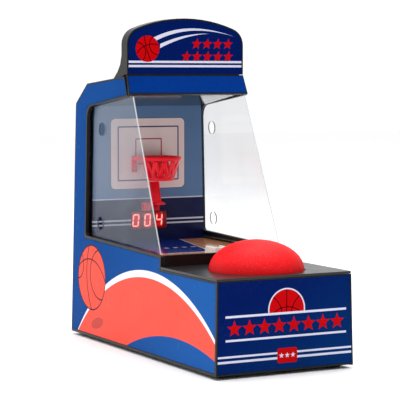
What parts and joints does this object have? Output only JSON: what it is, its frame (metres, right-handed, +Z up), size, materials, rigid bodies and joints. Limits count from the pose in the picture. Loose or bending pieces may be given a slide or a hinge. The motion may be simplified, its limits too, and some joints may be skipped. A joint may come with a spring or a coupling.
{
  "type": "basketball hoop machine",
  "caption": "Desktop arcade cabinet with a dome button that tips a ball launcher towards a small netted hoop, under an arched marquee.",
  "frame": {"origin": "centre of the cabinet's footprint, on the surface under its feet", "axes": "+X to the player's right, +Y from the button towards the hoop, +Z up"},
  "size_m": [0.105, 0.2294, 0.237],
  "materials": {
    "black_plastic": "satin moulded ABS",
    "side_print": "printed gloss label",
    "front_print": "printed gloss label",
    "header_print": "printed gloss label",
    "court_print": "printed card under clear varnish",
    "wall_print": "printed card under clear varnish",
    "red_plastic": "glossy moulded red",
    "button_red": "satin moulded red",
    "clear_sheet": "clear polished polystyrene sheet",
    "display_lens": "dark red tinted lens",
    "white_plastic": "satin moulded white",
    "rubber": "matt rubber",
    "steel": "plated steel",
    "circuit_board": "green solder mask",
    "battery_skin": "printed foil sleeve"
  },
  "bodies": {
    "cabinet": {"side_wall_left": "black_plastic", "side_wall_right": "black_plastic", "front_panel": "black_plastic", "base_plate": "black_plastic", "console_deck": "black_plastic", "court_lip": "black_plastic", "ceiling_panel": "black_plastic", "rear_cover": "black_plastic", "header_shell": "black_plastic", "header_apron": "black_plastic", "button_guide": "black_plastic", "rocker_stand": "black_plastic", "launch_stand": "black_plastic", "battery_tray": "black_plastic", "display_module": "black_plastic", "score_switch": "black_plastic", "buzzer": "black_plastic", "side_decal_left": "side_print", "side_decal_right": "side_print", "front_decal": "front_print", "header_decal": "header_print", "apron_decal": "header_print", "court_floor": "court_print", "back_wall": "wall_print", "hoop": "red_plastic", "hoop_bracket": "red_plastic", "lever_bracket": "red_plastic", "guard_left": "clear_sheet", "guard_right": "clear_sheet", "display_window": "display_lens", "foot_front_left": "rubber", "foot_front_right": "rubber", "foot_back_left": "rubber", "foot_back_right": "rubber", "button_spring": "steel", "lever_pin": "steel", "rocker_pin": "steel", "launch_pin": "steel", "bracket_screw_left": "steel", "bracket_screw_right": "steel", "cover_screw_low_left": "steel", "cover_screw_low_right": "steel", "cover_screw_high_left": "steel", "cover_screw_high_right": "steel", "battery_contact_left": "steel", "battery_contact_right": "steel", "switch_body": "steel", "main_board": "circuit_board", "battery_1": "battery_skin", "battery_2": "battery_skin", "battery_3": "battery_skin"},
    "button": {"dome_button": "button_red", "plunger": "white_plastic"},
    "rocker": {"rocker": "white_plastic"},
    "launcher": {"launch_arm": "white_plastic"},
    "score_lever": {"score_lever": "red_plastic"},
    "battery_door": {"battery_door": "black_plastic", "door_screw": "steel"},
    "switch_knob": {"switch_knob": "red_plastic"}
  },
  "joints": [
    {"name": "button_press", "type": "slide", "parent": "cabinet", "child": "button", "axis": [0, 0, -1], "range_m": [0, 0.006], "stiffness_N_per_m": 350, "springref_m": -0.003, "deforming": ["button_spring"]},
    {"name": "rocker_tip", "type": "hinge", "parent": "cabinet", "child": "rocker", "pos_m": [0, -0.051, 0.046], "axis": [1, 0, 0], "range_deg": [0, 14]},
    {"name": "launcher_tip", "type": "hinge", "parent": "cabinet", "child": "launcher", "pos_m": [0, -0.015, 0.062], "axis": [-1, 0, 0], "range_deg": [0, 24]},
    {"name": "score_lever_dip", "type": "hinge", "parent": "cabinet", "child": "score_lever", "pos_m": [0, 0.0848, 0.097], "axis": [1, 0, 0], "range_deg": [0, 6], "stiffness_Nm_per_rad": 0.02, "springref_deg": -8.59},
    {"name": "power_switch_slide", "type": "slide", "parent": "cabinet", "child": "switch_knob", "axis": [1, 0, 0], "range_m": [0, 0.0036]},
    {"name": "battery_door_pull", "type": "slide", "parent": "cabinet", "child": "battery_door", "axis": [0, 1, 0], "range_m": [0, 0.012]}
  ],
  "couplings": [
    {"joint": "rocker_tip", "follows": "button_press", "rad_per_m": 40.7},
    {"joint": "launcher_tip", "follows": "button_press", "rad_per_m": 69.8}
  ]
}
